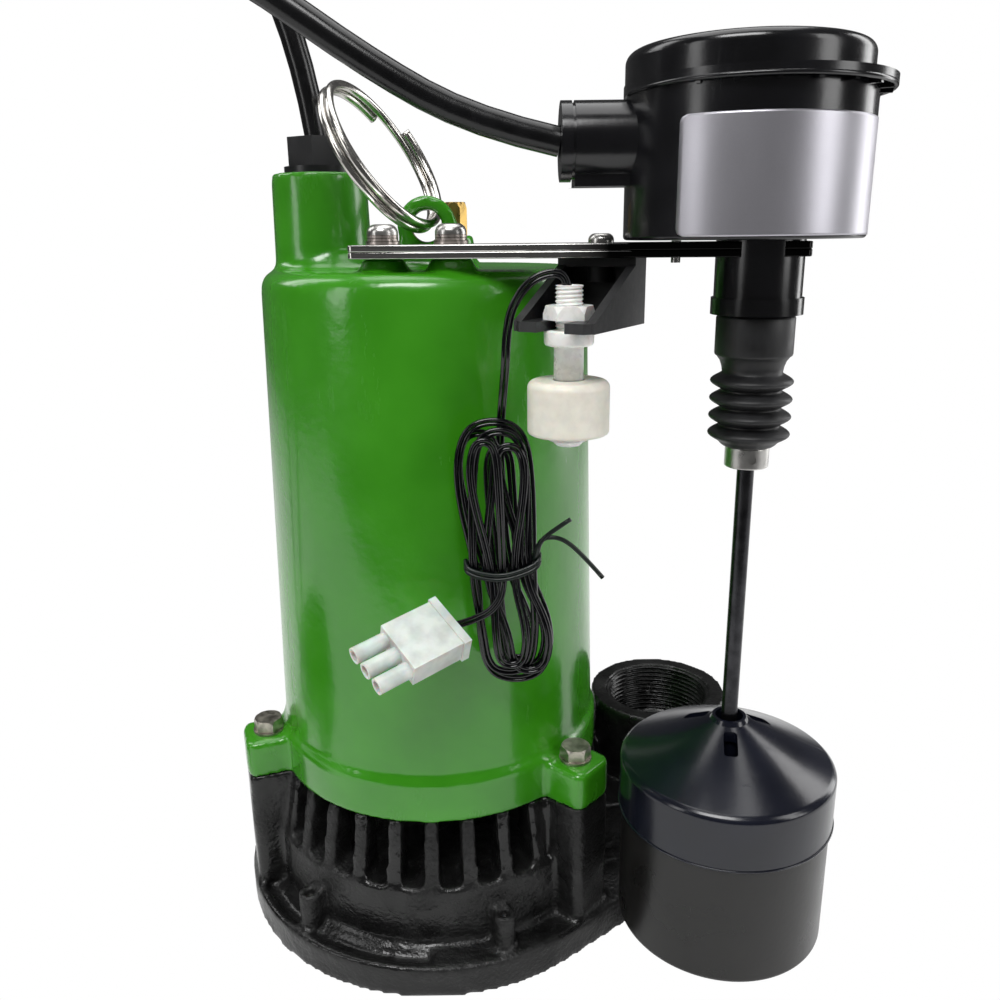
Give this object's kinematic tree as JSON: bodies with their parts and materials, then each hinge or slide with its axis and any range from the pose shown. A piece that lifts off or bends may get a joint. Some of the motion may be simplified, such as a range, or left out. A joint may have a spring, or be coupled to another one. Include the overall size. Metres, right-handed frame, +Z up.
{
  "type": "submersible sump pump",
  "caption": "Upright submersible sump pump with a ribbed strainer base, side discharge, vertical float switch on a steel strap and a small alarm float.",
  "frame": {"origin": "centre of the bottom plate on the floor, under the motor shaft", "axes": "+Z up along the shaft, +X towards the float switch side, +Y towards the back"},
  "size_m": [0.5282, 0.2018, 0.4266],
  "materials": {
    "green_paint": "gloss",
    "black_paint": "gloss",
    "plate_black": "satin",
    "stainless": "satin",
    "strap_steel": "brushed",
    "ring_steel": "satin",
    "brass": "satin",
    "gland_black": "satin",
    "rubber": "matte",
    "boot_rubber": "matte",
    "switch_plastic": "satin",
    "float_plastic": "satin",
    "bracket_plastic": "satin",
    "white_nylon": "gloss",
    "milky_foam": "satin",
    "connector_nylon": "gloss",
    "cord_jacket": "gloss",
    "plug_plastic": "satin",
    "lead_jacket": "gloss",
    "tie_plastic": "satin",
    "iron": "satin",
    "bearing_steel": "satin",
    "laminations": "satin",
    "copper": "satin",
    "ceramic": "gloss",
    "carbon": "satin",
    "impeller_plastic": "satin",
    "switch_box": "satin",
    "glass_reed": "gloss",
    "magnet": "satin"
  },
  "bodies": {
    "pump": {"alarm_bracket": "bracket_plastic", "alarm_clip": "white_nylon", "alarm_lead": "lead_jacket", "alarm_nut": "white_nylon", "alarm_stem": "white_nylon", "boot": "boot_rubber", "bottom_plate": "plate_black", "bottom_plate_screws": "stainless", "bracket_screw": "stainless", "connector": "connector_nylon", "gland_body": "gland_black", "gland_grommet": "rubber", "gland_nut": "gland_black", "housing_bolts": "stainless", "lock_ring": "switch_plastic", "lower_bearing": "bearing_steel", "motor_housing": "green_paint", "oil_plug": "brass", "outlet_grommet": "rubber", "piggyback_plug": "plug_plastic", "pump_cord": "cord_jacket", "pump_cord_coil": "cord_jacket", "pump_plug": "plug_plastic", "reed_switch": "glass_reed", "seal_plate": "iron", "seal_plate_o_ring": "rubber", "seal_seat": "ceramic", "snap_switch": "switch_box", "stator_core": "laminations", "stator_windings": "copper", "strap_lower": "strap_steel", "strap_screws": "stainless", "strap_upper": "strap_steel", "strap_washers": "stainless", "switch_cap": "switch_plastic", "switch_case": "switch_plastic", "switch_clamp_screws": "stainless", "switch_cord": "cord_jacket", "switch_cord_coil": "cord_jacket", "switch_tube": "switch_plastic", "twist_tie": "tie_plastic", "upper_bearing": "bearing_steel", "volute_base": "black_paint", "volute_foot": "black_paint"},
    "rotor": {"shaft": "stainless", "rotor_core": "laminations", "impeller": "impeller_plastic", "impeller_nut": "stainless", "seal_ring": "carbon", "seal_spring": "stainless"},
    "switch_rod": {"push_rod": "stainless", "rod_collar": "stainless", "rod_stop": "stainless"},
    "main_float": {"float_cap": "float_plastic", "float_cup": "float_plastic"},
    "switch_lever": {"switch_lever": "stainless"},
    "alarm_float": {"alarm_float": "milky_foam", "float_magnet": "magnet"},
    "lift_ring": {"lift_ring": "ring_steel"}
  },
  "joints": [
    {"name": "shaft_spin", "type": "hinge", "parent": "pump", "child": "rotor", "pos_m": [0, 0, 0.15], "axis": [0, 0, 1], "continuous": true},
    {"name": "rod_slide", "type": "slide", "parent": "pump", "child": "switch_rod", "axis": [0, 0, 1], "range_m": [0, 0.008], "deforming": ["boot"]},
    {"name": "float_slide", "type": "slide", "parent": "switch_rod", "child": "main_float", "axis": [0, 0, 1], "range_m": [0, 0.095]},
    {"name": "switch_lever_turn", "type": "hinge", "parent": "pump", "child": "switch_lever", "pos_m": [0.0906, -0.0688, 0.3001], "axis": [0, -1, 0], "range_deg": [0, 20]},
    {"name": "alarm_float_slide", "type": "slide", "parent": "pump", "child": "alarm_float", "axis": [0, 0, 1], "range_m": [0, 0.0105]},
    {"name": "lift_ring_swing", "type": "hinge", "parent": "pump", "child": "lift_ring", "pos_m": [0.002, -0.012, 0.2905], "axis": [0, 1, 0], "range_deg": [0, 100]}
  ],
  "couplings": [
    {"joint": "switch_lever_turn", "follows": "rod_slide", "rad_per_m": 43.5}
  ]
}
